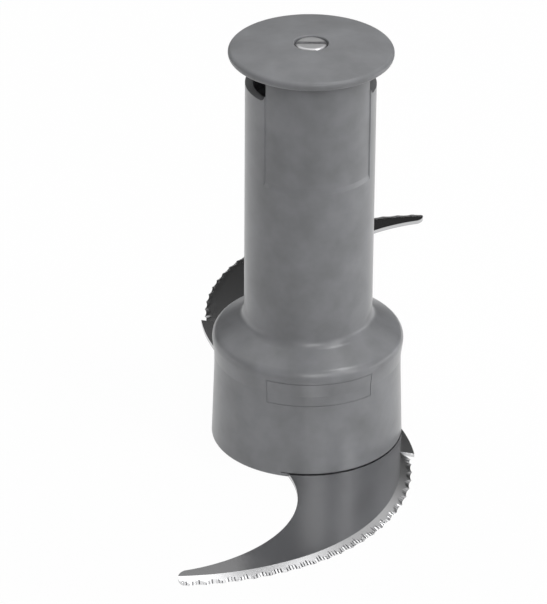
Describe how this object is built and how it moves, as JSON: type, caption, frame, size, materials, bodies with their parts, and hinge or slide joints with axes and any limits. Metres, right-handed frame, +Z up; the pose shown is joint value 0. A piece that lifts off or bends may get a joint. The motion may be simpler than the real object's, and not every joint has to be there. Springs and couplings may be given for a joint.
{
  "type": "food processor blade",
  "caption": "Food processor cutter: a moulded hub with a wide bell, a long stem and a flanged cap, carrying serrated scimitar blades at different heights.",
  "frame": {"origin": "on the shaft's axis, in the plane of the bell's rim, on which the cutter stands", "axes": "+Z up along the shaft; the two windows under the cap lie on the X axis; the lower blade leaves the bell on the -Y side and the upper one on the +Y side"},
  "size_m": [0.1054, 0.1668, 0.1321],
  "materials": {
    "grey_plastic": "satin moulded, mid grey",
    "screw_steel": "turned and slotted",
    "insert_brass": "turned",
    "sleeve_steel": "turned and reamed",
    "blade_steel": "polished faces, ground bevel"
  },
  "bodies": {
    "root": {"hub_bell": "grey_plastic", "hub_stem": "grey_plastic", "hub_head": "grey_plastic", "top_cap": "grey_plastic", "cap_screw": "screw_steel", "cap_washer": "screw_steel", "screw_insert": "insert_brass", "drive_sleeve": "sleeve_steel", "lower_blade": "blade_steel", "upper_blade": "blade_steel"}
  },
  "joints": []
}
